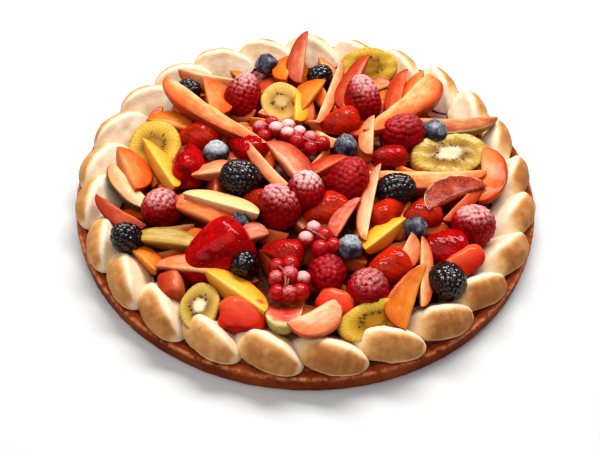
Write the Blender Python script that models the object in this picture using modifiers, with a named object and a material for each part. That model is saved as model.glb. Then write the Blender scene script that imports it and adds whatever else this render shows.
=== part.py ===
"""Round fruit tart, 280 mm across: a shallow baked crust, a low mound of filling, a border of piped
meringue petals and a topping of berries and cut fruit, each piece a solid of its own.

Metres, +Z up. The origin is the centre of the crust's underside. Fruit places are given in millimetres:
across (+X), away (+Y) and the height of the piece's middle above the table; headings are degrees
counter-clockwise from +X.
"""

import math

import bmesh
import bpy
from mathutils import Euler, Matrix, Vector

MM = 0.001

# The crust: a shallow baked case with a thin upright rim.
CRUST_RADIUS = 140 * MM
CRUST_HEIGHT = 11.5 * MM
CRUST_FOOT = 1.6 * MM
RIM_WIDTH = 6 * MM
RIM_ROUND = 1.5 * MM
FLOOR_HEIGHT = 9 * MM
CRUST_SIDES = 60

# The filling: flat under the border, mounded under the fruit.
MOUND_RADIUS = 100 * MM
MOUND_RISE = 15 * MM
FILLING_SIDES = 32
MOUND_RINGS = 5

# The border of piped petals. Each is turned from the spoke it stands on.
PETALS = 25
PETAL_FIRST = -83.2
PETAL_RING = 124 * MM
PETAL_TURN = 66
PETAL_LENGTH = 43 * MM
PETAL_WIDTH = 27 * MM
PETAL_HEIGHT = 16.5 * MM
PETAL_STATIONS = 5

# Clearance kept between any two pieces that touch.
GAP = 0.3 * MM

# Fruit, one row a piece: across, away, height of its middle, length, width, heading, lean of its axis.
RASPBERRIES = (
    (-42, 57, 32, 30, 24, 65, 40),
    (34, 55, 34, 31, 24, 100, 45),
    (58, 25, 33, 28, 25, 200, 70),
    (-83, -39, 28, 26, 23, 250, 50),
    (-15, -42, 37, 27, 25, 160, 35),
    (0, -32, 40, 23, 23, 90, 20),
    (25, -21, 38, 28, 25, 60, 50),
    (95, -43, 27, 27, 24, 200, 55),
    (34, -92, 27, 24, 23, 230, 60),
    (13, -83, 28, 23, 21, 270, 70),
)
BRAMBLES = (
    (-38, -22, 37, 25, 23, 170, 60),
    (-99, -61, 27, 21, 18, 200, 30),
    (-32, -79, 29, 21, 17, 260, 40),
    (7, 82, 29, 18, 16, 20, 60),
    (-78, 66, 27, 18, 16, 330, 60),
    (52, -25, 35, 24, 20, 10, 70),
    (78, -84, 26, 25, 22, 280, 50),
)
BLUEBERRIES = (
    (-29, 95, 27, 13, 16, 110, 20),
    (23, 7, 37, 14, 15, 80, 25),
    (78, 28, 31, 16, 18, 50, 30),
    (-54, 1, 35, 13, 16, 90, 15),
    (25, -69, 34, 13, 15, 80, 30),
    (62, -51, 31, 13, 14, 20, 50),
    (-36, -52, 32, 12, 13, 90, 20),
)

# Sprigs of red currants: the middle of the sprig, then each berry across, away and up from it.
CURRANT_SIZE = 10 * MM
CURRANT_SPRIGS = (
    ((-10, 13, 38), (
        (-19, 8, -1), (-12, 12, 0), (-16, 0, 0), (-9, 4, 2), (-2, 8, 1), (-2, 0, 2),
        (4, -5, 1), (5, 3, 1), (12, -1, 0), (19, -5, 0), (12, -9, 0),
    )),
    ((8, -66, 35), ((-7, 1, 0), (-3, 8, 1), (3, 3, 1), (8, -3, 0), (1, -6, 1))),
    ((-8, -91, 31), (
        (-6, 8, 2), (1, 9, 3), (-6, 0, 2), (1, 1, 4), (8, 0, 2), (-5, -8, 0), (7, -7, 0), (1, -9, 1),
    )),
)

# Cut fruit, one row a piece: across, away, height, length, width, depth, heading, rise of far end, roll,
# and for some wedges how much they narrow towards the far end, or below 0 towards the near end.
STRAWBERRIES = (
    (-67, 22, 30, 28, 22, 14, 10, 5, 0),
    (-38, 12, 34, 34, 20, 14, -48, 5, 0),
    (-70, -3, 30, 32, 21, 21, -84, 5, 0),
    (-49, -72, 29, 44, 34, 21, 32, 18, 20),
    (12, -40, 34, 28, 22, 14, 28, 0, 0),
    (48, -37, 32, 32, 15, 14, 234, 6, 15),
    (78, -60, 26, 29, 24, 17, 9, -5, 0),
    (87, -70, 24, 28, 14, 14, 36, 8, 30),
    (20, 35, 33, 26, 20, 14, 17, 0, 0),
    (46, -76, 27, 27, 21, 16, 32, 0, 0),
    (-31, -108, 22, 25, 19, 14, -5, 0, 20),
)
KIWIS = (
    (-93, 14, 25, 34, 36, 7, -7, 5, 25),
    (-17, 52, 31, 28, 27, 7, 0, 0, 30),
    (40, 103, 21, 42, 27, 7, 5, 0, 40),
    (87, 14, 26, 54, 30, 7, 16, -4, 18),
    (-54, -103, 21, 22, 29, 7, -5, 0, 12),
    (38, -108, 22, 42, 22, 7, 22, 0, 30),
)
PEACHES = (
    (-63, 31, 34, 92, 22, 19, -43, 2, -62, 0.5),
    (64, 45, 31, 78, 26, 24, 55, -5, -62, -0.5),
    (72, -15, 29, 74, 21, 18, 9, -6, -60, 0.3),
    (-57, -41, 28, 40, 20, 17, -25, 0, 62),
    (35, -37, 36, 56, 10, 10, -100, -5, -50, -0.3),
    (54, -94, 24, 42, 24, 18, 72, 8, 50, 0.6),
    (-8, 95, 32, 38, 17, 15, 84, 26, 40, 0.4),
)
FIGS = (
    (84, -22, 29, 44, 18, 16, 34, -5, 62),
    (91, 34, 27, 60, 22, 19, 8, -4, -58, 0.4),
)
MANGOES = (
    (-86, -6, 28, 50, 13, 12, -60, 4, 20),
    (-34, -96, 26, 41, 16, 13, -36, -3, 30),
    (43, -58, 32, 32, 13, 12, 44, 3, 30),
)
MELONS = ((-46, -40, 34, 48, 13, 12, -22, 5, 40),)

COLOURS = {
    "crust": ((0.30, 0.10, 0.035), 0.75),
    "filling": ((0.78, 0.55, 0.25), 0.5),
    "meringue": ((0.86, 0.66, 0.40), 0.7),
    "raspberry": ((0.50, 0.01, 0.03), 0.45),
    "bramble": ((0.02, 0.008, 0.015), 0.3),
    "blueberry": ((0.07, 0.09, 0.16), 0.6),
    "currants": ((0.45, 0.005, 0.01), 0.25),
    "strawberry": ((0.65, 0.02, 0.01), 0.3),
    "kiwi": ((0.55, 0.55, 0.10), 0.35),
    "peach": ((0.85, 0.40, 0.14), 0.35),
    "fig": ((0.70, 0.25, 0.18), 0.4),
    "mango": ((0.92, 0.55, 0.06), 0.35),
    "melon": ((0.88, 0.72, 0.40), 0.4),
}


def new_material(name):
    colour, roughness = COLOURS[name]
    material = bpy.data.materials.new(name)
    material.use_nodes = True
    shader = material.node_tree.nodes["Principled BSDF"]
    shader.inputs["Base Color"].default_value = (*colour, 1)
    shader.inputs["Roughness"].default_value = roughness
    shader.inputs["Metallic"].default_value = 0
    return material


def new_object(name, kind, mesh, collection):
    """An object of this mesh, shaded smooth, with a material of its own."""
    thing = bpy.data.objects.new(name, mesh)
    collection.objects.link(thing)
    mesh.materials.append(new_material(kind))
    mesh.shade_smooth()
    mesh.set_sharp_from_angle(angle=math.radians(40))
    return thing


def mesh_from(name, cage):
    """A mesh from a bmesh, with its faces turned outward."""
    bmesh.ops.recalc_face_normals(cage, faces=cage.faces)
    mesh = bpy.data.meshes.new(name)
    cage.to_mesh(mesh)
    cage.free()
    return mesh


def turned(name, kind, profile, sides, collection):
    """A solid of revolution: the profile runs from the axis, down the outside, back to the axis."""
    mesh = bpy.data.meshes.new(name)
    edges = [(i, i + 1) for i in range(len(profile) - 1)]
    mesh.from_pydata([(radius, 0, height) for radius, height in profile], edges, [])
    mesh.materials.append(new_material(kind))
    thing = bpy.data.objects.new(name, mesh)
    collection.objects.link(thing)
    screw = thing.modifiers.new("turn", "SCREW")
    screw.steps = sides
    screw.render_steps = sides
    screw.use_merge_vertices = True
    screw.merge_threshold = 0.00001
    screw.use_smooth_shade = True
    return thing


def crust(collection):
    """The baked case: a disc with a foot chamfer, a rounded rim and a shallow recess."""
    inner = CRUST_RADIUS - RIM_WIDTH
    profile = [
        (0, FLOOR_HEIGHT),
        (inner, FLOOR_HEIGHT),
        (inner, CRUST_HEIGHT - RIM_ROUND / 2),
        (inner + RIM_ROUND, CRUST_HEIGHT),
        (CRUST_RADIUS - RIM_ROUND, CRUST_HEIGHT),
        (CRUST_RADIUS, CRUST_HEIGHT - RIM_ROUND),
        (CRUST_RADIUS, CRUST_FOOT),
        (CRUST_RADIUS - CRUST_FOOT, 0),
        (0, 0),
    ]
    return turned("crust", "crust", profile, CRUST_SIDES, collection)


def mound_height(radius):
    """How high the filling's top is at this distance from the middle."""
    return CRUST_HEIGHT - GAP + MOUND_RISE * max(0, 1 - (radius / MOUND_RADIUS) ** 2)


def filling(collection):
    """What the fruit lies on: a dome with a flat brim, filling the crust's recess."""
    brim = CRUST_RADIUS - RIM_WIDTH - GAP
    profile = [(0, mound_height(0))]
    for ring in range(1, MOUND_RINGS + 1):
        radius = MOUND_RADIUS * ring / MOUND_RINGS
        profile.append((radius, mound_height(radius)))
    profile += [(brim, mound_height(brim)), (brim, FLOOR_HEIGHT + GAP), (0, FLOOR_HEIGHT + GAP)]
    return turned("filling", "filling", profile, FILLING_SIDES, collection)


def loft(rings, first, last):
    """A closed cage through rings of points, ending in a point at each end."""
    cage = bmesh.new()
    rows = [[cage.verts.new(point) for point in ring] for ring in rings]
    count = len(rows[0])
    for near, far in zip(rows, rows[1:]):
        for i in range(count):
            cage.faces.new((near[i], near[(i + 1) % count], far[(i + 1) % count], far[i]))
    for row, tip in ((rows[0], first), (rows[-1], last)):
        end = cage.verts.new(tip)
        for i in range(count):
            cage.faces.new((row[i], row[(i + 1) % count], end))
    return cage


def petal_mesh(name):
    """A piped leaf along +X, blunt at the far end, its crest between an outer (-Y) and an inner (+Y) face."""
    rings = []
    for station in range(PETAL_STATIONS):
        x = 2 * (station + 0.6) / (PETAL_STATIONS + 0.2) - 1
        rise = (1 - abs(x) ** 2.5) ** 0.58 if x > 0 else (1 - abs(x) ** 1.7) ** 0.75
        half = PETAL_WIDTH / 2 * (1 - abs(x) ** 2.1) ** 0.55
        along = PETAL_LENGTH / 2 * x
        top = PETAL_HEIGHT * rise
        rings.append([
            Vector((along, -half, 0)),
            Vector((along, -half * 0.94, top * 0.46)),
            Vector((along, -half * 0.5, top * 0.88)),
            Vector((along, -half * 0.04, top)),
            Vector((along, half * 0.58, top * 0.5)),
            Vector((along, half, 0)),
        ])
    tail = Vector((-PETAL_LENGTH / 2, 0, 0.5 * MM))
    tip = Vector((PETAL_LENGTH / 2, 0, 0.5 * MM))
    return mesh_from(name, loft(rings, tail, tip))


def petal_place(number):
    angle = math.radians(PETAL_FIRST + number * 360 / PETALS)
    spot = (PETAL_RING * math.cos(angle), PETAL_RING * math.sin(angle), CRUST_HEIGHT + GAP)
    return Matrix.Translation(spot) @ Matrix.Rotation(angle + math.radians(PETAL_TURN), 4, "Z")


def petals(cutters):
    """The border's leaves before they are joined. They overlap one another all the way round."""
    leaves = []
    for number in range(PETALS):
        mesh = petal_mesh(f"petal_{number + 1}")
        leaf = bpy.data.objects.new(mesh.name, mesh)
        cutters.objects.link(leaf)
        leaf.matrix_world = petal_place(number)
        leaf.hide_render = True
        leaf.display_type = "WIRE"
        leaves.append(leaf)
    return leaves


def joined(name, kind, parts, cutters, collection):
    """One solid from overlapping ones: a Boolean union of the rest onto a copy of the first."""
    base = new_object(name, kind, parts[0].data.copy(), collection)
    base.matrix_world = parts[0].matrix_world
    group = bpy.data.collections.new(name + "_parts")
    cutters.children.link(group)
    for part in parts[1:]:
        group.objects.link(part)
    union = base.modifiers.new("join", "BOOLEAN")
    union.operation = "UNION"
    union.operand_type = "COLLECTION"
    union.collection = group
    union.solver = "EXACT"
    union.use_self = True
    return base


def berry_mesh(name, length, width, sides, rings, taper, bumps):
    """An egg-shaped berry along +Z. Its drupelets stand out from every second point by bumps."""
    cage = bmesh.new()
    bmesh.ops.create_uvsphere(cage, u_segments=sides, v_segments=rings, radius=0.5)
    for vertex in cage.verts:
        x, y, z = vertex.co
        ring = round((math.acos(max(-1, min(1, 2 * z)))) / math.pi * rings)
        side = round(math.atan2(y, x) / math.tau * sides)
        stands_out = 1 + bumps * (1 if (ring + side) % 2 else -1) * (0 < ring < rings)
        slim = 1 - taper * z
        vertex.co = (x * width * slim * stands_out, y * width * slim * stands_out, z * length)
    return mesh_from(name, cage)


def place(thing, across, away, up, heading, lean):
    """Stand a piece at its spot, its +Z axis leaning by lean towards heading."""
    thing.location = (across * MM, away * MM, up * MM)
    thing.rotation_euler = Euler((0, math.radians(lean), math.radians(heading)), "XYZ")


def berries(kind, rows, sides, rings, taper, bumps, collection):
    made = []
    for number, (across, away, up, length, width, heading, lean) in enumerate(rows, 1):
        mesh = berry_mesh(kind, length * MM, width * MM, sides, rings, taper, bumps)
        berry = new_object(f"{kind}_{number}", kind, mesh, collection)
        place(berry, across, away, up, heading, lean)
        made.append(berry)
    return made


def currant_parts(number, middle, offsets, cutters):
    parts = []
    for across, away, up in offsets:
        mesh = berry_mesh(f"currant_{number}", CURRANT_SIZE, CURRANT_SIZE, 8, 4, 0, 0)
        currant = bpy.data.objects.new(mesh.name, mesh)
        cutters.objects.link(currant)
        place(currant, middle[0] + across, middle[1] + away, middle[2] + up, 0, 0)
        currant.hide_render = True
        currant.display_type = "WIRE"
        parts.append(currant)
    return parts


def wedge_mesh(name, length, width, depth, taper=0):
    """A wedge cut from a round fruit, along +X: a straight core edge at the top, its rounded skin below."""
    rings = []
    for x in (-0.84, -0.45, 0, 0.45, 0.84):
        narrowing = 1 - abs(taper) * (1 + math.copysign(1, taper) * x) / 2
        swell = math.sqrt(1 - abs(x) ** 2.4) * narrowing
        half = width / 2 * swell
        core = depth / 2
        deep = depth * swell
        along = length / 2 * x
        rings.append([
            Vector((along, 0, core)),
            Vector((along, half, core - 0.76 * deep)),
            Vector((along, half * 0.52, core - 0.98 * deep)),
            Vector((along, -half * 0.52, core - 0.98 * deep)),
            Vector((along, -half, core - 0.76 * deep)),
        ])
    first = Vector((-length / 2, 0, core - depth * 0.06))
    last = Vector((length / 2, 0, core - depth * 0.06))
    return mesh_from(name, loft(rings, first, last))


def heart_mesh(name, length, width, depth):
    """A cut strawberry along +X: blunt shoulders at the far end, a pointed tip at the near end."""
    rings = []
    for along, swell in ((0.14, 0.45), (0.38, 0.8), (0.66, 1.0), (0.9, 0.75)):
        x = length * (along - 0.5)
        half = width / 2 * swell
        deep = depth / 2 * swell
        rings.append([
            Vector((x, -half, -deep * 0.5)),
            Vector((x, -half * 0.75, deep * 0.6)),
            Vector((x, 0, deep)),
            Vector((x, half * 0.75, deep * 0.6)),
            Vector((x, half, -deep * 0.5)),
            Vector((x, 0, -deep)),
        ])
    return mesh_from(name, loft(rings, Vector((-length / 2, 0, 0)), Vector((length / 2, 0, 0))))


def slice_mesh(name, length, width, depth):
    """A slice across a kiwi: a flat oval disc with a slightly narrower top."""
    cage = bmesh.new()
    bmesh.ops.create_cone(cage, cap_ends=True, segments=14, radius1=0.5, radius2=0.48, depth=1)
    bmesh.ops.scale(cage, vec=(length, width, depth), verts=cage.verts)
    return mesh_from(name, cage)


def cuts(kind, shape, rows, collection):
    made = []
    for number, row in enumerate(rows, 1):
        across, away, up, length, width, depth, heading, rise, roll, *taper = row
        mesh = shape(kind, length * MM, width * MM, depth * MM, *taper)
        piece = new_object(f"{kind}_{number}", kind, mesh, collection)
        piece.location = (across * MM, away * MM, up * MM)
        piece.rotation_euler = Euler((math.radians(roll), math.radians(-rise), math.radians(heading)), "XYZ")
        made.append(piece)
    return made


def directions(count=120):
    """Unit vectors spread evenly over a half sphere, which are the cuts to choose from."""
    spread = []
    for i in range(count):
        z = (i + 0.5) / count
        turn = i * math.pi * (3 - math.sqrt(5))
        flat = math.sqrt(1 - z * z)
        spread.append(Vector((flat * math.cos(turn), flat * math.sin(turn), z)))
    return spread


def world_points(thing):
    return [thing.matrix_world @ vertex.co for vertex in thing.data.vertices]


def shallowest(a_points, b_points, normals):
    """(overlap, normal, a_reach, b_start) of the direction in which two pieces overlap least."""
    best = None
    for normal in normals:
        a_along = [normal.dot(point) for point in a_points]
        b_along = [normal.dot(point) for point in b_points]
        for sign, reach, start in ((1, max(a_along), min(b_along)), (-1, -min(a_along), -max(b_along))):
            if best is None or reach - start < best[0]:
                best = (reach - start, normal * sign, reach, start)
    return best


def slice_off(thing, point, normal):
    """Cut away what lies beyond a plane, given in world space, and close the cut."""
    to_local = thing.matrix_world.inverted()
    local_normal = (thing.matrix_world.to_3x3().transposed() @ normal).normalized()
    cage = bmesh.new()
    cage.from_mesh(thing.data)
    bmesh.ops.bisect_plane(
        cage,
        geom=cage.verts[:] + cage.edges[:] + cage.faces[:],
        dist=1e-7,
        plane_co=to_local @ point,
        plane_no=local_normal,
        clear_outer=True,
    )
    rim = [edge for edge in cage.edges if edge.is_boundary]
    bmesh.ops.holes_fill(cage, edges=rim, sides=0)
    bmesh.ops.dissolve_degenerate(cage, dist=1e-6, edges=cage.edges)
    bmesh.ops.recalc_face_normals(cage, faces=cage.faces)
    cage.to_mesh(thing.data)
    cage.free()


def may_touch(a_points, b_points):
    for axis in range(3):
        a_low = min(point[axis] for point in a_points)
        a_high = max(point[axis] for point in a_points)
        b_low = min(point[axis] for point in b_points)
        b_high = max(point[axis] for point in b_points)
        if a_low > b_high + GAP or b_low > a_high + GAP:
            return False
    return True


def press_against(fixed, fruit, normals):
    """Flatten each fruit where it leans on a fixed piece."""
    for support in fixed:
        support_points = world_points(support)
        for piece in fruit:
            points = world_points(piece)
            if not may_touch(points, support_points):
                continue
            overlap, normal, _, start = shallowest(points, support_points, normals)
            if overlap > -GAP:
                slice_off(piece, normal * (start - GAP), normal)


def press_together(fruit, normals):
    """Flatten each two fruits where they touch, half from either."""
    for i, first in enumerate(fruit):
        for second in fruit[i + 1:]:
            first_points = world_points(first)
            second_points = world_points(second)
            if not may_touch(first_points, second_points):
                continue
            overlap, normal, reach, start = shallowest(first_points, second_points, normals)
            if overlap > -GAP:
                middle = (reach + start) / 2
                slice_off(first, normal * (middle - GAP / 2), normal)
                slice_off(second, normal * (middle + GAP / 2), -normal)


def rest_on_mound(fruit):
    """Flatten the underside of each fruit to the slope of the filling below its middle."""
    for piece in fruit:
        spot = piece.matrix_world.translation
        radius = math.hypot(spot.x, spot.y)
        slope = 2 * MOUND_RISE * min(radius, MOUND_RADIUS) / MOUND_RADIUS ** 2
        outward = Vector((spot.x, spot.y, 0)).normalized()
        down = -(Vector((0, 0, 1)) + outward * slope).normalized()
        under = Vector((spot.x, spot.y, mound_height(radius) + GAP))
        slice_off(piece, under, down)


def main():
    for thing in list(bpy.data.objects):
        bpy.data.objects.remove(thing)
    tart = bpy.data.collections.new("fruit_tart")
    cutters = bpy.data.collections.new("cutters")
    cutters.hide_render = True
    bpy.context.scene.collection.children.link(tart)
    bpy.context.scene.collection.children.link(cutters)

    crust(tart)
    filling(tart)
    leaves = petals(cutters)
    joined("meringue_border", "meringue", leaves, cutters, tart)

    fruit = berries("raspberry", RASPBERRIES, 9, 7, 0.25, 0.05, tart)
    fruit += berries("bramble", BRAMBLES, 9, 7, 0.15, 0.06, tart)
    fruit += berries("blueberry", BLUEBERRIES, 10, 6, 0.05, 0, tart)
    fruit += cuts("strawberry", heart_mesh, STRAWBERRIES, tart)
    fruit += cuts("kiwi", slice_mesh, KIWIS, tart)
    fruit += cuts("peach", wedge_mesh, PEACHES, tart)
    fruit += cuts("fig", wedge_mesh, FIGS, tart)
    fruit += cuts("mango", wedge_mesh, MANGOES, tart)
    fruit += cuts("melon", wedge_mesh, MELONS, tart)
    bpy.context.view_layer.update()

    sprigs = []
    for number, (middle, offsets) in enumerate(CURRANT_SPRIGS, 1):
        sprigs.append(currant_parts(number, middle, offsets, cutters))
    bpy.context.view_layer.update()
    normals = directions()
    rest_on_mound(fruit)
    press_against(leaves, fruit, normals)
    for number, sprig in enumerate(sprigs, 1):
        press_against(sprig, fruit, normals)
        joined(f"currants_{number}", "currants", sprig, cutters, tart)
    press_together(fruit, normals)


main()
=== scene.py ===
import math

import bpy
import numpy as np
from mathutils import Euler, Matrix, Vector


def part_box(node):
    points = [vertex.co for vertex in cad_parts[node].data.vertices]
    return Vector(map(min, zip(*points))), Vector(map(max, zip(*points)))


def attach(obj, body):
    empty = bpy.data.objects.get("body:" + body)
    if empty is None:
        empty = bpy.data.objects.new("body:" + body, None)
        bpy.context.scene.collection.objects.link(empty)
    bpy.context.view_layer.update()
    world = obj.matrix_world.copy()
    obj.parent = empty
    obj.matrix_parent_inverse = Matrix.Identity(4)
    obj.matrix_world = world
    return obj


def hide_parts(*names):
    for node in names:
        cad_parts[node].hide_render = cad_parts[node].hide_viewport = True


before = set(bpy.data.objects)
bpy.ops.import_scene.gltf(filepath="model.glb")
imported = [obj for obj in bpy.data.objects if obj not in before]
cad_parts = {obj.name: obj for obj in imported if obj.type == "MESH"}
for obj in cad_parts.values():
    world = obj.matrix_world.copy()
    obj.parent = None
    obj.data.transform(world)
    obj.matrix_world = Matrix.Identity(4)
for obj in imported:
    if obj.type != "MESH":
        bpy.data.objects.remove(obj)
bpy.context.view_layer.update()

MM = 0.001

# The crust and the border repeat part.py's dimensions, some of them read from the imported nodes' boxes below.
CRUST_LOW, CRUST_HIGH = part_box("crust")
CRUST_RADIUS = CRUST_HIGH.x
CRUST_TOP = CRUST_HIGH.z
RIM_WIDTH = 6 * MM
FILLING_LOW, FILLING_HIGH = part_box("filling")
BORDER_LOW, BORDER_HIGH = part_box("meringue_border")
MOUND_RADIUS = 100 * MM
PETALS = 25
PETAL_FIRST = -83.2
PETAL_RING = 124 * MM
PETAL_TURN = 66
PETAL_LENGTH = 43 * MM
PETAL_WIDTH = 27 * MM


# ---------------------------------------------------------------- numbers and meshes

def waves(points, scale, seed, count=9):
    """Smooth unevenness from -1 to 1 at each point: waves of about this length, in metres, in all directions."""
    rng = np.random.default_rng(seed)
    total = np.zeros(points.shape[:-1])
    for _ in range(count):
        direction = rng.normal(size=3)
        direction /= np.linalg.norm(direction)
        pace = math.tau / scale * rng.uniform(0.6, 1.7)
        total += np.sin(points @ direction * pace + rng.uniform(0, math.tau))
    return total / math.sqrt(count) / 1.5


def smooth_step(values, low, high):
    share = np.clip((values - low) / (high - low), 0, 1)
    return share * share * (3 - 2 * share)


def curve_through(points, count, closed=False):
    """Points evenly along a Catmull-Rom curve through the given ones."""
    points = np.asarray(points, float)
    if closed:
        points = np.concatenate([points[-1:], points, points[:2]])
    else:
        points = np.concatenate([2 * points[:1] - points[1:2], points, 2 * points[-1:] - points[-2:-1]])
    spans = len(points) - 3
    along = np.linspace(0, spans, count, endpoint=not closed)
    span = np.minimum(along.astype(int), spans - 1)
    t = (along - span)[:, None]
    a, b, c, d = (points[span + i] for i in range(4))
    return 0.5 * (2 * b + (c - a) * t + (2 * a - 5 * b + 4 * c - d) * t ** 2 + (3 * b - a - 3 * c + d) * t ** 3)


def closed_grid(grid, **values):
    """(points, faces, values) of a closed skin over rows of points. Its rows are loops, and the first and last
    row each shrink to one point."""
    rows, columns = grid.shape[:2]

    def flat(array):
        body = array[1:-1].reshape(-1, *array.shape[2:])
        return np.concatenate([array[:1].mean(1), body, array[-1:].mean(1)])

    points = flat(grid)
    index = 1 + np.arange((rows - 2) * columns).reshape(rows - 2, columns)
    right = np.roll(index, -1, axis=1)
    quads = np.stack([index[:-1], right[:-1], right[1:], index[1:]], -1).reshape(-1, 4)
    last = 1 + (rows - 2) * columns
    first_fan = np.stack([right[0], index[0], np.zeros(columns, int)], -1)
    last_fan = np.stack([index[-1], right[-1], np.full(columns, last)], -1)
    parts = [quads, first_fan, last_fan]
    halves = np.concatenate([quads[:, :3], quads[:, [0, 2, 3]], first_fan, last_fan])
    if np.linalg.det(points[halves] - points.mean(0)).sum() < 0:
        parts = [part[:, ::-1] for part in parts]
    faces = [face for part in parts for face in part.tolist()]
    return points, faces, {name: flat(array) for name, array in values.items()}


def add_up(shapes):
    """Several (points, faces, values) as one."""
    points, faces, values, start = [], [], {}, 0
    for shape_points, shape_faces, shape_values in shapes:
        points.append(shape_points)
        faces += [[start + corner for corner in face] for face in shape_faces]
        start += len(shape_points)
        for name, array in shape_values.items():
            values.setdefault(name, []).append(array)
    return np.concatenate(points), faces, {name: np.concatenate(parts) for name, parts in values.items()}


def turn_to(heading, lean, roll=0):
    """A turn that leans +Z towards heading, after rolling about +Z."""
    return Euler((0, math.radians(lean), math.radians(heading)), "XYZ").to_matrix() @ Matrix.Rotation(
        math.radians(roll), 3, "Z")


def turn_along(heading, rise, roll):
    """A turn that lays +X along heading with its far end raised, rolled about its own length."""
    return Euler((math.radians(roll), math.radians(-rise), math.radians(heading)), "XYZ").to_matrix()


def moved(shape, turn, spot):
    """The shape turned and moved to its spot. Where its own points were is kept as the value 'own'."""
    points, faces, values = shape
    values = dict(values)
    values["own"] = points.copy()
    return points @ np.array(turn).T + np.array(spot), faces, values


def add_piece(name, shape, look, slot, *nodes):
    """A piece of the tart: a mesh with its values as attributes, riding on the root and standing for its nodes."""
    points, faces, values = shape
    mesh = bpy.data.meshes.new(name)
    mesh.from_pydata(points.tolist(), [], faces)
    mesh.validate()
    for value_name, array in values.items():
        kind, field = ("FLOAT_VECTOR", "vector") if array.ndim == 2 else ("FLOAT", "value")
        attribute = mesh.attributes.new(value_name, kind, "POINT")
        attribute.data.foreach_set(field, array.astype(np.float32).reshape(-1))
    mesh.shade_smooth()
    mesh.materials.append(look)
    piece = bpy.data.objects.new(name, mesh)
    bpy.context.scene.collection.objects.link(piece)
    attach(piece, "root")
    if nodes:
        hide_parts(*nodes)
    return piece


# ---------------------------------------------------------------- materials

def linear(red, green, blue):
    """A screen colour, 0 to 255, as the light that a shader takes."""
    return tuple(((c / 255 + 0.055) / 1.055) ** 2.4 if c > 10 else c / 255 / 12.92 for c in (red, green, blue))


class Look:
    """A procedural material, built up node by node."""

    def __init__(self, name, roughness=0.5, **sockets):
        self.material = bpy.data.materials.new(name)
        self.material.use_nodes = True
        self.tree = self.material.node_tree
        self.shader = self.tree.nodes["Principled BSDF"]
        self.set("Roughness", roughness)
        for socket, value in sockets.items():
            self.set(socket.replace("_", " ").title().replace("Ior", "IOR"), value)

    def set(self, socket, value):
        if isinstance(value, bpy.types.NodeSocket):
            self.tree.links.new(value, self.shader.inputs[socket])
        else:
            self.shader.inputs[socket].default_value = value

    def node(self, kind, inputs=None, **settings):
        node = self.tree.nodes.new(kind)
        for name, value in settings.items():
            setattr(node, name, value)
        for name, value in (inputs or {}).items():
            if isinstance(value, bpy.types.NodeSocket):
                self.tree.links.new(value, node.inputs[name])
            elif isinstance(value, tuple) and len(value) == 3 and node.inputs[name].type == "RGBA":
                node.inputs[name].default_value = (*value, 1)
            else:
                node.inputs[name].default_value = value
        return node

    def value(self, name):
        return self.node("ShaderNodeAttribute", attribute_name=name).outputs["Fac"]

    def own(self):
        """The piece's own coordinates, before it was turned and placed."""
        return self.node("ShaderNodeAttribute", attribute_name="own").outputs["Vector"]

    def noise(self, scale, detail=3, roughness=0.55, where=None, stretch=None, distortion=0):
        """Cloudy noise from about 0.3 to 0.7. scale counts its features per metre."""
        where = where or self.own()
        if stretch:
            where = self.node("ShaderNodeMapping", {"Vector": where, "Scale": stretch}).outputs[0]
        inputs = {"Vector": where, "Scale": scale, "Detail": detail, "Roughness": roughness, "Distortion": distortion}
        return self.node("ShaderNodeTexNoise", inputs).outputs["Fac"]

    def cells(self, scale, feature="F1", where=None, randomness=1):
        inputs = {"Vector": where or self.own(), "Scale": scale, "Randomness": randomness}
        return self.node("ShaderNodeTexVoronoi", inputs, feature=feature).outputs["Distance"]

    def math(self, operation, first, second=0.0, third=None, clamp=False):
        node = self.tree.nodes.new("ShaderNodeMath")
        node.operation = operation
        node.use_clamp = clamp
        for socket, value in zip(node.inputs, (first, second, third)):
            if isinstance(value, bpy.types.NodeSocket):
                self.tree.links.new(value, socket)
            elif value is not None:
                socket.default_value = value
        return node.outputs[0]

    def span(self, value, low, high):
        """value as 0 at low and 1 at high, eased at both ends."""
        inputs = {"Value": value, "From Min": low, "From Max": high}
        return self.node("ShaderNodeMapRange", inputs, interpolation_type="SMOOTHSTEP").outputs["Result"]

    def ramp(self, value, *stops):
        """A colour that goes through the stops, each (place, screen colour)."""
        node = self.node("ShaderNodeValToRGB", {"Fac": value})
        elements = node.color_ramp.elements
        while len(elements) < len(stops):
            elements.new(0.5)
        for element, (place, colour) in zip(elements, stops):
            element.position = place
            element.color = (*linear(*colour), 1)
        return node.outputs["Color"]

    def mix(self, share, first, second, blend="MIX"):
        """first where share is 0 and second where it is 1. A colour is a socket or a screen colour."""
        node = self.tree.nodes.new("ShaderNodeMix")
        node.data_type = "RGBA"
        node.blend_type = blend
        for socket, value in ((node.inputs[0], share), (node.inputs[6], first), (node.inputs[7], second)):
            if isinstance(value, bpy.types.NodeSocket):
                self.tree.links.new(value, socket)
            elif isinstance(value, tuple):
                socket.default_value = (*linear(*value), 1)
            else:
                socket.default_value = value
        return node.outputs[2]

    def bump(self, height, depth, strength=1.0):
        inputs = {"Height": height, "Distance": depth, "Strength": strength}
        self.set("Normal", self.node("ShaderNodeBump", inputs).outputs["Normal"])

    def upward(self):
        """How far the surface faces up, 0 to 1."""
        normal = self.node("ShaderNodeNewGeometry").outputs["Normal"]
        split = self.node("ShaderNodeSeparateXYZ", {"Vector": normal})
        return split.outputs["Z"]

    def dusted(self, colour, amount, pale_sugar_and_sheen=(252, 208, 204)):
        """colour under fine sugar, partly a painted highlight, which lies in grains where amount is high."""
        grains = self.noise(700, 4, 0.7)
        share = self.span(self.math("MULTIPLY_ADD", amount, 0.33, grains), 0.5, 0.78)
        share = self.math("MULTIPLY", share, self.math("MULTIPLY", amount, 0.75, clamp=True))
        return share, self.mix(share, colour, pale_sugar_and_sheen)


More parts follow.
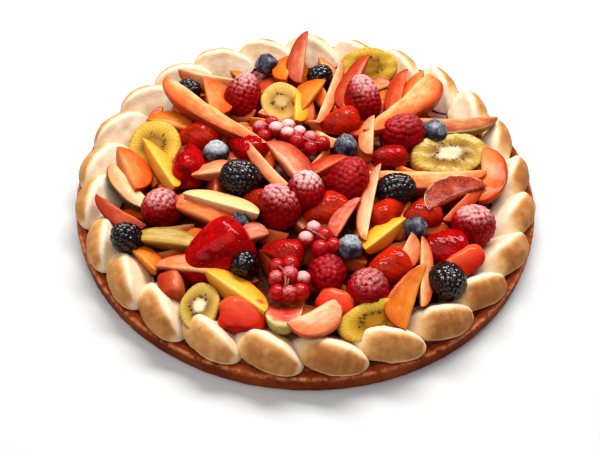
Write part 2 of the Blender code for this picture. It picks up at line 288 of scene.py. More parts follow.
def crust_look():
    look = Look("crust", 0.55, specular_ior_level=0.06)
    fine = look.noise(260, 5, 0.65)
    broad = look.noise(40, 3)
    brown = look.ramp(broad, (0.3, (112, 42, 12)), (0.5, (138, 60, 22)), (0.7, (164, 82, 38)))
    brown = look.mix(look.span(fine, 0.5, 0.95), brown, (166, 90, 50))
    # Small pits in the pastry, pressed in by the bump and painted dark as shade.
    pits = look.span(look.cells(330), 0.12, 0.04)
    brown = look.mix(look.math("MULTIPLY", pits, 0.6), brown, (48, 14, 4))
    # A paler line along the outer rim corner: a painted highlight.
    edge = look.math("MULTIPLY", look.value("edge"), look.span(fine, 0.36, 0.62))
    look.set("Base Color", look.mix(edge, brown, (212, 134, 88)))
    height = look.math("SUBTRACT", look.math("MULTIPLY", fine, 0.6), look.math("MULTIPLY", pits, 0.8))
    look.bump(height, 0.0006)
    return look.material


def filling_look():
    look = Look("filling", 0.35, specular_ior_level=0.25)
    broad = look.noise(60, 4)
    # The mound's dark red-brown is partly the glaze's own colour and partly painted shade for the deep gaps between the
    # fruit.
    colour = look.ramp(broad, (0.3, (74, 20, 6)), (0.5, (128, 48, 16)), (0.72, (176, 96, 36)))
    look.set("Base Color", look.mix(look.span(look.noise(160, 3), 0.55, 0.7), colour, (96, 12, 8)))
    look.bump(look.noise(140, 4), 0.0012)
    return look.material


def meringue_look():
    look = Look("meringue", 0.58, subsurface_weight=0.25, subsurface_scale=0.004, specular_ior_level=0.3)
    look.shader.inputs["Subsurface Radius"].default_value = (1.0, 0.7, 0.5)
    mottle = look.noise(150, 4, 0.6)
    streak = look.noise(420, 3, 0.6, stretch=(1, 0.2, 0.2))
    # The toast value is the meringue's own browning, raised on the right-hand side as painted shade.
    toast = look.value("toast")
    uneven = look.math("MULTIPLY_ADD", look.math("SUBTRACT", mottle, 0.5), 0.7, toast)
    uneven = look.math("MULTIPLY_ADD", look.math("SUBTRACT", streak, 0.5), 0.25, uneven)
    colour = look.ramp(uneven, (0.0, (244, 224, 198)), (0.25, (238, 208, 166)), (0.5, (228, 182, 122)),
                       (0.75, (208, 150, 88)), (1.0, (176, 112, 56)))
    look.set("Base Color", colour)
    look.bump(look.noise(600, 4, 0.7), 0.0003)
    return look.material


def raspberry_look():
    look = Look("raspberry", 0.42, subsurface_weight=0.12, subsurface_scale=0.002, specular_ior_level=0.18)
    look.shader.inputs["Subsurface Radius"].default_value = (1.0, 0.1, 0.1)
    # Darker red in the creases between drupelets: painted shade.
    deep = look.value("crease")
    red = look.mix(deep, (182, 2, 16), (98, 0, 6))
    red = look.mix(look.span(look.noise(90, 2), 0.4, 0.65), red, (140, 0, 8))
    share, colour = look.dusted(red, look.value("dust"))
    look.set("Base Color", colour)
    look.set("Roughness", look.math("MULTIPLY_ADD", share, 0.4, 0.36))
    look.bump(look.noise(1400, 3), 0.00015)
    return look.material


def bramble_look():
    look = Look("bramble", 0.26, specular_ior_level=0.6)
    # Blacker in the creases between drupelets: painted shade.
    black = look.mix(look.value("crease"), (22, 8, 12), (4, 0, 2))
    black = look.mix(look.span(look.noise(160, 2), 0.5, 0.7), black, (58, 4, 12))
    share, colour = look.dusted(black, look.value("dust"))
    look.set("Base Color", colour)
    look.set("Roughness", look.math("MULTIPLY_ADD", share, 0.4, 0.1))
    look.bump(look.noise(900, 2), 0.00005)
    return look.material


def blueberry_look():
    look = Look("blueberry", 0.42, specular_ior_level=0.4)
    bloom = look.noise(190, 4, 0.6)
    skin = look.mix(look.span(bloom, 0.42, 0.62), (36, 34, 50), (120, 122, 138))
    skin = look.mix(look.value("calyx"), skin, (38, 26, 38))
    # Bluish-white sugar on top, partly a painted highlight.
    share, colour = look.dusted(skin, look.value("dust"), (212, 216, 218))
    look.set("Base Color", colour)
    look.bump(look.noise(1100, 2), 0.00008)
    return look.material


def currant_look():
    look = Look("currants", 0.2, subsurface_weight=0.15, subsurface_scale=0.002, specular_ior_level=0.35)
    look.shader.inputs["Subsurface Radius"].default_value = (1.0, 0.1, 0.05)
    # On currants the same value marks their veins, which are their own colour.
    red = look.mix(look.value("crease"), (190, 0, 10), (128, 0, 4))
    red = look.mix(look.value("calyx"), red, (70, 22, 12))
    share, colour = look.dusted(red, look.value("dust"))
    look.set("Base Color", colour)
    look.set("Roughness", look.math("MULTIPLY_ADD", share, 0.5, 0.16))
    return look.material


def strawberry_look(name, skin_colour, flesh_edge, flesh_core):
    """Glazed skin painted darker in its dimples as shade and paler along its cut edges as a painted glow of light, and
    flesh that pales towards its core.
    """
    look = Look(name, 0.3, subsurface_weight=0.15, subsurface_scale=0.003, specular_ior_level=0.02, coat_weight=0.3,
                coat_roughness=0.05)
    look.shader.inputs["Subsurface Radius"].default_value = (1.0, 0.15, 0.05)
    fibres = look.noise(500, 3, 0.6, stretch=(0.25, 1, 1))
    core = look.math("MULTIPLY_ADD", fibres, 0.5, look.value("core"))
    flesh = look.mix(look.span(core, 0.45, 1.15), flesh_edge, flesh_core)
    darker = tuple(int(c * 0.72) for c in skin_colour)
    skin = look.mix(look.span(look.noise(110, 3), 0.35, 0.7), skin_colour, darker)
    # Paler along the edges of the cut: a painted glow of light through the thin flesh.
    skin = look.mix(look.math("MULTIPLY", look.value("rim"), 0.7), skin, flesh_edge)
    # Darker in the dimples: painted shade.
    skin = look.mix(look.math("MULTIPLY", look.value("pit"), 0.25), skin, tuple(int(c * 0.5) for c in skin_colour))
    look.set("Base Color", look.mix(look.value("skin"), flesh, skin))
    look.bump(look.noise(800, 3), 0.00012)
    return look.material


def stone_fruit_look(name, skin_colour, edge, body, core, grain=0.5):
    """Cut flesh that goes from its edge by the skin, through body, to the core. A pale core colour is partly a painted
    highlight along the wedge's upper ridge.
    """
    look = Look(name, 0.32, subsurface_weight=0.12, subsurface_scale=0.004, specular_ior_level=0.06, coat_weight=0.18,
                coat_roughness=0.08)
    look.shader.inputs["Subsurface Radius"].default_value = (1.0, 0.4, 0.12)
    fibres = look.noise(300, 4, 0.6, stretch=(0.35, 1, 1))
    depth = look.math("MULTIPLY_ADD", look.math("SUBTRACT", fibres, 0.5), 1.6 * grain, look.value("core"))
    depth = look.math("MULTIPLY_ADD", look.math("SUBTRACT", look.noise(75, 3), 0.5), 0.9, depth)
    # Paler towards the core ridge: partly the flesh's own tone, partly a painted highlight.
    flesh = look.ramp(depth, (0.06, edge), (0.45, body), (0.92, core))
    blush = look.mix(look.span(look.noise(45, 3), 0.4, 0.65), skin_colour, tuple(int(c * 0.8) for c in skin_colour))
    look.set("Base Color", look.mix(look.value("skin"), flesh, blush))
    look.bump(look.noise(500, 4, 0.6, stretch=(0.4, 1, 1)), 0.0004)
    return look.material


def fig_look(name, pulp_low, pulp_high):
    """Grainy pulp inside a cream rind, with a dark skin."""
    look = Look(name, 0.35, subsurface_weight=0.12, subsurface_scale=0.003, specular_ior_level=0.08, coat_weight=0.15,
                coat_roughness=0.1)
    look.shader.inputs["Subsurface Radius"].default_value = (1.0, 0.4, 0.25)
    grains = look.cells(620)
    pulp = look.mix(look.span(look.noise(160, 3), 0.35, 0.65), pulp_low, pulp_high)
    pulp = look.mix(look.math("MULTIPLY", look.span(grains, 0.55, 0.1), 0.3), pulp, (214, 124, 82))
    rind = look.ramp(look.value("core"), (0.0, (226, 216, 150)), (0.12, (250, 218, 168)), (0.3, (244, 180, 130)))
    inward = look.math("MULTIPLY_ADD", look.noise(200, 2), 0.25, look.value("core"))
    flesh = look.mix(look.span(inward, 0.2, 0.3), rind, pulp)
    skin = look.ramp(look.noise(80, 3), (0.35, (60, 34, 48)), (0.6, (92, 88, 44)), (0.8, (120, 122, 60)))
    look.set("Base Color", look.mix(look.value("skin"), flesh, skin))
    look.bump(look.math("SUBTRACT", 0.0, grains), 0.0004)
    return look.material


def kiwi_look(name, rim, flesh, ring, heart):
    """Ripe flesh, darker where the seeds lie round the pale heart, with fine rays."""
    look = Look(name, 0.3, subsurface_weight=0.15, subsurface_scale=0.003, specular_ior_level=0.1, coat_weight=0.2,
                coat_roughness=0.1)
    look.shader.inputs["Subsurface Radius"].default_value = (0.9, 0.8, 0.3)
    rays = look.math("MULTIPLY", look.math("SINE", look.math("MULTIPLY", look.value("around"), 34.0)), 0.05)
    cloud = look.math("MULTIPLY_ADD", look.math("SUBTRACT", look.noise(120, 3), 0.5), 0.35, look.value("out"))
    place = look.math("ADD", cloud, rays)
    look.set("Base Color", look.ramp(place, (0.0, heart), (0.2, heart), (0.36, ring), (0.58, flesh), (0.85, rim), (1.0, flesh)))
    look.bump(look.noise(500, 3), 0.0002)
    return look.material


def plain_look(name, low, high, roughness, scale=300):
    look = Look(name, roughness, coat_weight=0.2)
    look.set("Base Color", look.ramp(look.noise(scale, 3), (0.35, low), (0.65, high)))
    look.bump(look.noise(scale * 3, 2), 0.0001)
    return look.material


# ---------------------------------------------------------------- crust, filling and border

def crust_shape():
    """The baked case turned round the middle, its side and rim uneven as pastry is."""
    around, height = 540, CRUST_TOP
    inner = CRUST_RADIUS - RIM_WIDTH
    outline = [(0, 9.0), (0.5, 9.0), (0.9, 9.05), (inner / CRUST_RADIUS - 0.004, 9.2), (inner / CRUST_RADIUS, 10.6),
               (0.966, 11.2), (0.982, 11.3), (0.993, 10.9), (0.997, 9.6), (0.996, 7.0), (0.996, 4.0), (0.994, 1.6),
               (0.985, 0.3), (0.9, 0.0), (0.4, 0.0), (0, 0.0)]
    profile = curve_through(outline, 60)
    radius = np.clip(profile[:, 0], 0, 1) * CRUST_RADIUS
    level = np.clip(profile[:, 1] * MM, 0, height)
    angle = np.linspace(0, math.tau, around, endpoint=False)
    grid = np.stack([radius[:, None] * np.cos(angle), radius[:, None] * np.sin(angle),
                     np.repeat(level[:, None], around, 1)], -1)
    outer = smooth_step(radius, 0.95 * CRUST_RADIUS, 0.985 * CRUST_RADIUS)[:, None]
    side = smooth_step(level, 1.5 * MM, 4 * MM)[:, None]
    rough = waves(grid, 9 * MM, 1) * 0.25 + waves(grid, 3.2 * MM, 2) * 0.22 + waves(grid, 1.6 * MM, 3) * 0.12
    inward = (rough - 0.4) * 0.5 * MM * outer
    out = grid[..., :2] / np.maximum(np.linalg.norm(grid[..., :2], axis=-1, keepdims=True), 1e-9)
    grid[..., :2] += out * np.minimum(inward, 0)[..., None]
    grid[..., 2] += (waves(grid, 7 * MM, 4) * 0.35 + waves(grid, 2.4 * MM, 5) * 0.25 - 0.4) * MM * outer * side
    grid[..., 2] = np.clip(grid[..., 2], 0, height)
    # edge marks the outer rim corner, where the look paints a highlight.
    rim = np.exp(-((radius - 0.991 * CRUST_RADIUS) / (1 * MM)) ** 2) * smooth_step(level, 9 * MM, 10.8 * MM)
    return closed_grid(grid[::-1], edge=np.repeat(rim[:, None], around, 1)[::-1])


def mound_height(radius):
    rise = FILLING_HIGH.z - CRUST_TOP
    return CRUST_TOP + rise * np.maximum(0, 1 - (radius / MOUND_RADIUS) ** 2)


def filling_shape():
    around = 220
    brim = FILLING_HIGH.x
    out = np.concatenate([np.linspace(0, 0.97, 50), [0.985, 1.0, 1.0, 0.5, 0]])
    angle = np.linspace(0, math.tau, around, endpoint=False)
    radius = out * brim
    level = mound_height(radius)
    level[51:] = FILLING_LOW.z
    level[50] -= 0.6 * MM
    level[51] = FILLING_LOW.z + 1 * MM
    grid = np.stack([radius[:, None] * np.cos(angle), radius[:, None] * np.sin(angle),
                     np.repeat(level[:, None], around, 1)], -1)
    bumps = waves(grid, 14 * MM, 11) * 0.7 + waves(grid, 5 * MM, 12) * 0.35 - 0.9
    grid[:50, :, 2] += bumps[:50] * MM * smooth_step(radius[:50], 0, 5 * MM)[:, None]
    return closed_grid(grid[::-1])


PETAL_SECTION = (
    (-0.84, 0.0), (-0.98, 0.09), (-1.0, 0.26), (-0.93, 0.47), (-0.77, 0.69), (-0.52, 0.88), (-0.24, 0.985),
    (-0.06, 1.0), (0.08, 0.94), (0.28, 0.73), (0.56, 0.46), (0.80, 0.22), (0.94, 0.05), (0.9, 0.0), (0.3, 0.0), (-0.4, 0.0),
)
CREST_PLACE = 7 / len(PETAL_SECTION)


def petal_shape(number):
    """One piped leaf along +X: a full outer face towards -Y, a crest, and an inner face towards +Y."""
    rng = np.random.default_rng(100 + number)
    stations, around = 42, 52
    section = curve_through(PETAL_SECTION, around, closed=True)
    along = (1 - np.cos(np.linspace(0, math.pi, stations))) / 2
    x = 2 * along - 1
    swell = np.where(x < 0, np.clip(1 - abs(x) ** 1.7, 0, 1) ** 0.75, np.clip(1 - abs(x) ** 2.5, 0, 1) ** 0.58)
    spread = np.clip(1 - abs(x) ** 2.1, 0, 1) ** 0.55
    length = PETAL_LENGTH * rng.uniform(0.95, 1.02)
    half = PETAL_WIDTH / 2 * rng.uniform(0.93, 1.0)
    height = (BORDER_HIGH.z - CRUST_TOP) * rng.uniform(0.86, 0.95)
    bend = rng.uniform(-0.8, 0.8) * MM
    grid = np.zeros((stations, around, 3))
    grid[..., 0] = (length * (along - 0.5))[:, None]
    grid[..., 1] = half * spread[:, None] * section[:, 0] + (bend * np.sin(math.pi * along))[:, None]
    grid[..., 2] = height * swell[:, None] * np.maximum(section[:, 1], 0)
    place = np.arange(around) / around
    face = smooth_step(place, 0.02, 0.14) * smooth_step(-place, 0.01 - CREST_PLACE, 0.11 - CREST_PLACE)
    ends = smooth_step(along, 0.1, 0.42) * smooth_step(-along, -1.0, -0.93)
    toast = face * ends[:, None] * rng.uniform(0.7, 0.9)
    inner = smooth_step(place, CREST_PLACE, CREST_PLACE + 0.05) * smooth_step(-place, -0.85, -0.6)
    toast = toast + 0.16 * inner * ends[:, None] * rng.uniform(0.3, 1.2)
    seed = 200 + number
    wrinkle = waves(grid, 12 * MM, seed) * 0.35 + waves(grid, 4.5 * MM, seed + 50) * 0.16
    lifted = (grid[..., 2] > 0.5 * MM)[..., None]
    centre = np.array([0, 0, height * 0.4])
    away = grid - centre
    away /= np.linalg.norm(away, axis=-1, keepdims=True)
    grid += away * ((wrinkle - 0.25) * MM)[..., None] * lifted * swell[:, None, None]
    grid[..., 2] = np.clip(grid[..., 2], 0, None)
    return closed_grid(grid, toast=toast)


def border_shape():
    leaves = []
    for number in range(PETALS):
        rng = np.random.default_rng(300 + number)
        angle = PETAL_FIRST + number * 360 / PETALS + rng.uniform(-0.7, 0.7)
        spoke = math.radians(angle)
        spot = (PETAL_RING * math.cos(spoke), PETAL_RING * math.sin(spoke), CRUST_TOP + 0.1 * MM)
        turn = Matrix.Rotation(spoke + math.radians(PETAL_TURN + rng.uniform(-3, 3)), 3, "Z")
        points, faces, values = moved(petal_shape(number), turn, spot)
        values["own"] += [0.1 * number, 0, 0]
        # More toast on the right-hand petals: painted shade on that side, over the meringue's own browning.
        values["toast"] = values["toast"] * (1.08 + 0.1 * math.cos(spoke))
        leaves.append((points, faces, values))
    return add_up(leaves)


# ---------------------------------------------------------------- whole berries

def drupelet_berry(length, width, size, seed, hollow=0.0, taper=0.25, depth=0.8, dust=0.0, dust_from=(0, 0, 1)):
    """A raspberry or bramble with its tip up +Z: drupelets in rows round a body, standing out as small domes.
    hollow is the depth of the opening left at its stem end."""
    rng = np.random.default_rng(seed)
    rows, around = 74, 98

    def body(polar, angle):
        z = np.cos(polar)
        round_off = np.clip(np.sin(polar), 0, 1) ** 0.85
        slim = 1 - taper * z
        x, y = round_off * slim * np.cos(angle), round_off * slim * np.sin(angle)
        scale = np.array([width, width, length]) / 2 - depth * MM
        return np.stack([x, y, z + 0 * angle], -1) * scale

    centres = []
    ring, polar = 0, 0.0
    step = size * 0.86 / (length / 2 * 0.8 + width / 2 * 0.2)
    while polar < math.pi * (0.86 if hollow else 1):
        ring_radius = np.linalg.norm(body(np.array(polar), np.array(0.0))[:2])
        count = max(1, round(math.tau * ring_radius / size))
        offset = rng.uniform(0, math.tau)
        for k in range(count):
            turn = offset + (k + rng.uniform(-0.12, 0.12)) * math.tau / count
            centres.append(body(np.array(polar + rng.uniform(-0.05, 0.05)), np.array(turn)))
        polar += step * rng.uniform(0.92, 1.04)
        ring += 1
    centres = np.array(centres)
    reach = size * rng.uniform(0.54, 0.61, len(centres))
    polars = np.linspace(0, math.pi, rows)
    angles = np.linspace(0, math.tau, around, endpoint=False)
    grid = body(polars[:, None], angles[None, :])
    flat = grid.reshape(-1, 3)
    apart = np.linalg.norm(flat[:, None] - centres, axis=-1)
    dome = np.sqrt(np.clip(1 - (apart / reach) ** 2, 0, 1)).max(1).reshape(rows, around)
    outward = grid / np.array([width, width, length]) ** 2
    outward /= np.maximum(np.linalg.norm(outward, axis=-1, keepdims=True), 1e-9)
    grid += outward * (dome * depth * MM)[..., None]
    if hollow:
        inside = smooth_step(polars, math.pi * 0.84, math.pi * 0.9)
        grid[..., 2] += (inside * hollow * 1.25)[:, None]
        shrink = 1 - 0.35 * smooth_step(polars, math.pi * 0.88, math.pi)
        grid[..., :2] *= shrink[:, None, None]
    # Paler on the side that faces up and a little back: sugar that settles there and, partly, a painted highlight
    # towards the light.
    side = np.array(dust_from, float)
    facing = outward @ (side / np.linalg.norm(side))
    pale_sugar_and_sheen = dust * smooth_step(facing, 0.25, 0.98) * (0.15 + 0.85 * dome)
    # The hollows between drupelets are marked so that the looks paint them darker as shade.
    return closed_grid(grid, crease=1 - dome, dust=pale_sugar_and_sheen)


def blueberry_shape(length, width, seed, dust=0.0):
    """A blueberry with its calyx, a shallow five-pointed crown, up +Z."""
    rows, around = 44, 50
    polars = np.linspace(0, math.pi, rows)[:, None]
    angles = np.linspace(0, math.tau, around, endpoint=False)[None, :]
    z = np.cos(polars)
    radial = np.sin(polars)
    grid = np.stack([radial * np.cos(angles) * width / 2, radial * np.sin(angles) * width / 2,
                     z * length / 2 + 0 * angles], -1) * 0.99
    star = 1 + 0.16 * np.cos(5 * angles + seed)
    rim_polar = 0.46 * star
    crown = np.exp(-((polars - rim_polar) / 0.09) ** 2)
    pit = smooth_step(-polars, -rim_polar, -0.25 * rim_polar)
    grid[..., 2] += (crown * 0.07 - pit * 0.16) * length
    calyx = np.clip(pit + crown * 0.6, 0, 1)
    # Paler on top: sugar, partly a painted highlight.
    pale_sugar_and_sheen = dust * smooth_step(z + 0 * angles, 0.1, 0.95)
    return closed_grid(grid, calyx=calyx, dust=pale_sugar_and_sheen)


def currant_shape(size, seed, dust):
    """A currant with the dry tip of its flower at a side."""
    rng = np.random.default_rng(seed)
    rows, around = 22, 26
    polars = np.linspace(0, math.pi, rows)[:, None]
    angles = np.linspace(0, math.tau, around, endpoint=False)[None, :]
    grid = np.stack([np.sin(polars) * np.cos(angles), np.sin(polars) * np.sin(angles), np.cos(polars) + 0 * angles], -1)
    direction = rng.normal(size=3)
    direction /= np.linalg.norm(direction)
    tip = smooth_step(grid @ direction, 0.965, 0.995)
    stripes = 0.5 + 0.5 * np.cos(9 * angles + 0 * polars)
    # Paler on top and towards the back: sugar, partly a painted highlight.
    pale_sugar_and_sheen = dust * smooth_step(grid[..., 2] + 0.25 * grid[..., 1], 0.1, 0.9)
    grid = grid * (size / 2) * (1 + 0.06 * tip[..., None])
    return closed_grid(grid, calyx=tip, crease=stripes * 0.4, dust=pale_sugar_and_sheen)


# ---------------------------------------------------------------- cut fruit

DIMPLES = 90
KIWI_SEEDS = 16


def wedge_shape(length, width, depth, seed, open_angle=70, bluntness=2.2, hollow=0.04, bow=0.0, tip=0.0, softness=0.09,
                stations=34, around=46):
    """A wedge of a round fruit along +X. Its two cut faces meet in the core edge at +Z, and the skin is the
    rounded side at -Z. width is across the skin and depth from core to skin."""
    half_angle = math.radians(open_angle / 2)
    corner = np.array([math.sin(half_angle), -math.cos(half_angle)])
    section = [np.array([0.0, -softness * 0.6])]
    for share in (0.3, 0.62, 0.9):
        section.append(corner * share + np.array([softness * 0.35, 0]) * (1 - share))
    for turn in np.linspace(half_angle * 0.92, -half_angle * 0.92, 7):
        section.append(np.array([math.sin(turn), -math.cos(turn)]) * (1.0 + 0.04 * math.cos(turn * math.pi / 2 / half_angle)))
    for share in (0.9, 0.62, 0.3):
        section.append(corner * [-1, 1] * share - np.array([softness * 0.35, 0]) * (1 - share))
    section = curve_through(section, around, closed=True)
    section[:, 0] /= 2 * abs(section[:, 0]).max()
    section[:, 1] = (section[:, 1] - section[:, 1].max()) / np.ptp(section[:, 1])
    along = (1 - np.cos(np.linspace(0, math.pi, stations))) / 2
    x = 2 * along - 1
    swell = (1 - abs(x) ** bluntness) ** 0.5 * (1 - abs(tip) * (1 + math.copysign(1, tip) * x) / 2)
    grid = np.zeros((stations, around, 3))
    grid[..., 0] = (x * length / 2)[:, None]
    grid[..., 1] = width * swell[:, None] * section[:, 0]
    pit = hollow * depth * np.clip(1 - (x / 0.55) ** 2, 0, 1)
    near_core = np.clip(1 + section[:, 1] * 1.6, 0, 1)
    grid[..., 2] = depth * swell[:, None] * section[:, 1] - pit[:, None] * near_core + depth * 0.5
    grid[..., 2] += (bow * (1 - x ** 2))[:, None]
    centre_angle = np.arctan2(section[:, 0] * width, -section[:, 1] * depth)
    from_core = np.hypot(section[:, 0] * width, section[:, 1] * depth) / np.hypot(width / 2, depth)
    place = np.arange(around) / around
    skin = smooth_step(place, 3.6 / 14, 4.2 / 14) * smooth_step(-place, -11.4 / 14, -10.8 / 14)
    skin = np.repeat(skin[None], stations, 0)
    core = np.clip(1 - from_core, 0, 1)[None] * np.ones((stations, 1))
    core = core * (0.35 + 0.65 * swell[:, None])
    wrinkle = waves(grid, 16 * MM, seed) * 0.3 + waves(grid, 6 * MM, seed + 1) * 0.1
    grid[..., 1:] *= 1 + (wrinkle * 0.12)[..., None]
    return closed_grid(grid, skin=skin, core=core, pit=0 * core, turn=np.repeat(centre_angle[None], stations, 0))


def half_shape(length, width, depth, seed, cut=0.1, shoulders=0.9):
    """A cut strawberry along +X, its tip at -X and its cut face at +Z. cut is how far past the middle it goes
    on, from 0 for a half towards 1 for nearly the whole berry. Its dimples are in the skin."""
    rows, around = 60, 80
    along = (1 - np.cos(np.linspace(0, math.pi, rows))) / 2
    outline = [(0, 0), (0.03, 0.24), (0.14, 0.52), (0.34, 0.8), (0.58, 0.97), (0.74, 1.0), (0.88, shoulders), (0.97, 0.55),
               (1.0, 0.0)]
    outline = curve_through(outline, 300)
    swell = np.interp(along, outline[:, 0], np.clip(outline[:, 1], 0, None))
    edge = math.asin(cut)
    turns = np.linspace(edge - 0.12, -math.pi - edge + 0.12, 15)
    section = [(math.cos(t), math.sin(t)) for t in turns]
    reach = math.cos(edge)
    section += [(share * reach, cut + 0.03 * (1 - share * share)) for share in (-0.88, -0.55, -0.18, 0.18, 0.55, 0.88)]
    section = curve_through(section, around, closed=True)
    grid = np.zeros((rows, around, 3))
    grid[..., 0] = ((along - 0.5) * length)[:, None]
    grid[..., 1] = width / 2 * swell[:, None] * section[:, 0]
    grid[..., 2] = depth * swell[:, None] * section[:, 1]
    grid[..., 1:] *= 1 + 0.05 * waves(grid, 18 * MM, seed)[..., None]
    place = np.arange(around) * 21 / around
    skin = smooth_step(place, -0.6, 0.1) * smooth_step(-place, -14.7, -13.9)
    skin = np.repeat(skin[None], rows, 0)
    outward = grid / np.array([length, width, depth * 2]) ** 2
    outward /= np.maximum(np.linalg.norm(outward, axis=-1, keepdims=True), 1e-9)
    pits = np.zeros((rows, around))
    dimples = []
    for k in range(DIMPLES):
        row = np.searchsorted(along, 0.05 + 0.88 * (k + 0.5) / DIMPLES)
        column = round(((k * 0.618034) % 1) * around * 13 / 21 + around * 0.4 / 21)
        dimples.append((grid[row, column].copy(), outward[row, column]))
        pits = np.maximum(pits, np.exp(-(np.linalg.norm(grid - grid[row, column], axis=-1) / (1.1 * MM)) ** 2))
    pits *= skin
    grid -= outward * (pits * 0.35 * MM)[..., None]
    inside = np.clip(1 - np.hypot(grid[..., 1] / (width / 2), 2 * grid[..., 0] / length), 0, 1)
    middle = np.array([0, 0, depth * (1 - cut) / 2])
    # rim marks the edges of the cut, where the look paints a glow of light through the thin flesh.
    rim = np.exp(-((place - 14.3) / 1.3) ** 2) + np.exp(-((place + 0.3) / 1.3) ** 2) + np.exp(-((place - 20.7) / 1.3) ** 2)
    rim = np.repeat(np.clip(rim, 0, 1)[None], rows, 0)
    points, faces, values = closed_grid(grid + middle, skin=skin, core=inside * (1 - skin), pit=pits, rim=rim)
    achenes = [(spot + middle - facing * 0.35 * MM, facing) for spot, facing in dimples]
    return (points, faces, values), achenes


def slice_shape(length, width, depth, seed, part=1.0):
    """A slice across a round fruit, flat in X and Y. part below 1 cuts it off straight on the -Y side."""
    around = 80
    profile = curve_through([(0, 0.5), (0.5, 0.5), (0.88, 0.49), (0.985, 0.36), (1.0, 0), (0.985, -0.36), (0.88, -0.49),
                             (0.5, -0.5), (0, -0.5)], 40)
    out = np.clip(profile[:, 0], 0, 1)
    angles = np.linspace(0, math.tau, around, endpoint=False)
    uneven = 1 + 0.025 * np.cos(2 * angles + seed) + 0.015 * np.cos(5 * angles + 2 * seed)
    uneven /= uneven.max()
    grid = np.stack([out[:, None] * np.cos(angles) * uneven * length / 2, out[:, None] * np.sin(angles) * uneven * width / 2,
                     np.repeat(profile[:, 1][:, None] * depth, around, 1)], -1)
    if part < 1:
        grid[..., 1] = np.maximum(grid[..., 1], width * (0.5 - part))
        grid[..., 1] -= width * (1 - part) / 2
    grid[..., 2] += 0.25 * MM * waves(grid, 8 * MM, seed)
    return closed_grid(grid[::-1], out=np.repeat(out[:, None], around, 1)[::-1], around=np.repeat(angles[None], len(out), 0)[::-1])


def speck(length, width, depth):
    """A seed: a small flat drop along +X."""
    rows, around = 6, 6
    along = np.linspace(0, 1, rows)
    swell = np.sin(math.pi * along ** 1.3)
    angles = np.linspace(0, math.tau, around, endpoint=False)
    grid = np.stack([np.repeat(((along - 0.5) * length)[:, None], around, 1), width / 2 * swell[:, None] * np.cos(angles),
                     depth / 2 * swell[:, None] * np.sin(angles)], -1)
    return closed_grid(grid)


def tube(points, radius):
    """A thin stalk through these points."""
    path = curve_through(np.asarray(points) * MM, 24)
    ahead = np.gradient(path, axis=0)
    ahead /= np.linalg.norm(ahead, axis=1, keepdims=True)
    side = np.cross(ahead, [0.3, 0.2, 1.0])
    side /= np.linalg.norm(side, axis=1, keepdims=True)
    over = np.cross(ahead, side)
    angles = np.linspace(0, math.tau, 8, endpoint=False)
    thick = radius * MM * np.concatenate([[0.01], np.linspace(1.2, 0.8, 22), [0.01]])
    grid = path[:, None] + thick[:, None, None] * (np.cos(angles)[:, None] * side[:, None] + np.sin(angles)[:, None] * over[:, None])
    return closed_grid(grid)


def block_shape(length, width, depth, seed, squareness=4.0):
    """A cut block with worn corners, its skin on one side (-Y)."""
    rows, around = 36, 44
    polars = np.linspace(0, math.pi, rows)[:, None]
    angles = np.linspace(0, math.tau, around, endpoint=False)[None, :]
    unit = np.stack([np.sin(polars) * np.cos(angles), np.sin(polars) * np.sin(angles), np.cos(polars) + 0 * angles], -1)
    size = (abs(unit) ** squareness).sum(-1, keepdims=True) ** (-1 / squareness)
    grid = unit * size * np.array([length, width, depth]) / 2
    grid *= 1 + 0.05 * waves(grid, 11 * MM, seed)[..., None]
    skin = smooth_step(-grid[..., 1] / width, 0.36, 0.44)
    core = np.clip(0.5 + grid[..., 1] / width, 0, 1)
    return closed_grid(grid, skin=skin, core=core, pit=0 * core)


# ---------------------------------------------------------------- where everything lies, in millimetres

# Piece, across, away, height of its middle, length, width, heading and lean of its tip, sugar (partly a painted
# highlight), hollow.
RASPBERRIES = (
    ("raspberry_1", -42, 57, 32, 30, 24, 65, 40, 0.8, 0),
    ("raspberry_2", 34, 55, 34, 31, 24, 100, 45, 0.9, 0),
    ("raspberry_3", 58, 25, 33, 28, 25, 200, 70, 0.3, 0),
    ("raspberry_4", -83, -39, 28, 26, 23, 250, 50, 0.8, 0),
    ("raspberry_5", -15, -42, 37, 27, 25, 160, 35, 0.85, 0),
    ("raspberry_6", 0, -32, 40, 23, 23, 90, 20, 1.15, 0),
    ("raspberry_7", 25, -21, 38, 28, 25, 60, 50, 0.2, 0),
    ("raspberry_8", 95, -43, 27, 27, 24, 200, 55, 0.9, 0),
    ("raspberry_9", 34, -92, 27, 24, 23, 230, 60, 0.6, 5),
    ("raspberry_10", 13, -83, 28, 23, 21, 270, 70, 0.2, 0),
)
BRAMBLES = (
    ("bramble_1", -38, -22, 37, 25, 23, 170, 60, 0.12),
    ("bramble_2", -99, -61, 27, 21, 18, 200, 30, 0.1),
    ("bramble_3", -32, -79, 29, 21, 17, 260, 40, 0.1),
    ("bramble_4", 7, 82, 29, 18, 16, 20, 60, 0.05),
    ("bramble_5", -78, 66, 27, 18, 16, 330, 60, 0.1),
    ("bramble_6", 52, -25, 35, 24, 20, 10, 70, 0.1),
    ("bramble_7", 78, -84, 26, 25, 22, 280, 50, 0.08),
)
BLUEBERRIES = (
    ("blueberry_1", -29, 95, 27, 13, 16, 110, 20, 0.2),
    ("blueberry_2", 23, 7, 37, 14, 15, 80, 25, 0.5),
    ("blueberry_3", 78, 28, 31, 16, 18, 50, 30, 0.5),
    ("blueberry_4", -54, 1, 35, 13, 16, 90, 15, 1.0),
    ("blueberry_5", 25, -69, 34, 13, 15, 80, 30, 0.8),
    ("blueberry_6", 62, -51, 31, 13, 14, 20, 50, 0.4),
    ("blueberry_7", -36, -52, 32, 12, 13, 90, 20, 0.3),
)
CURRANT_SIZE = 10
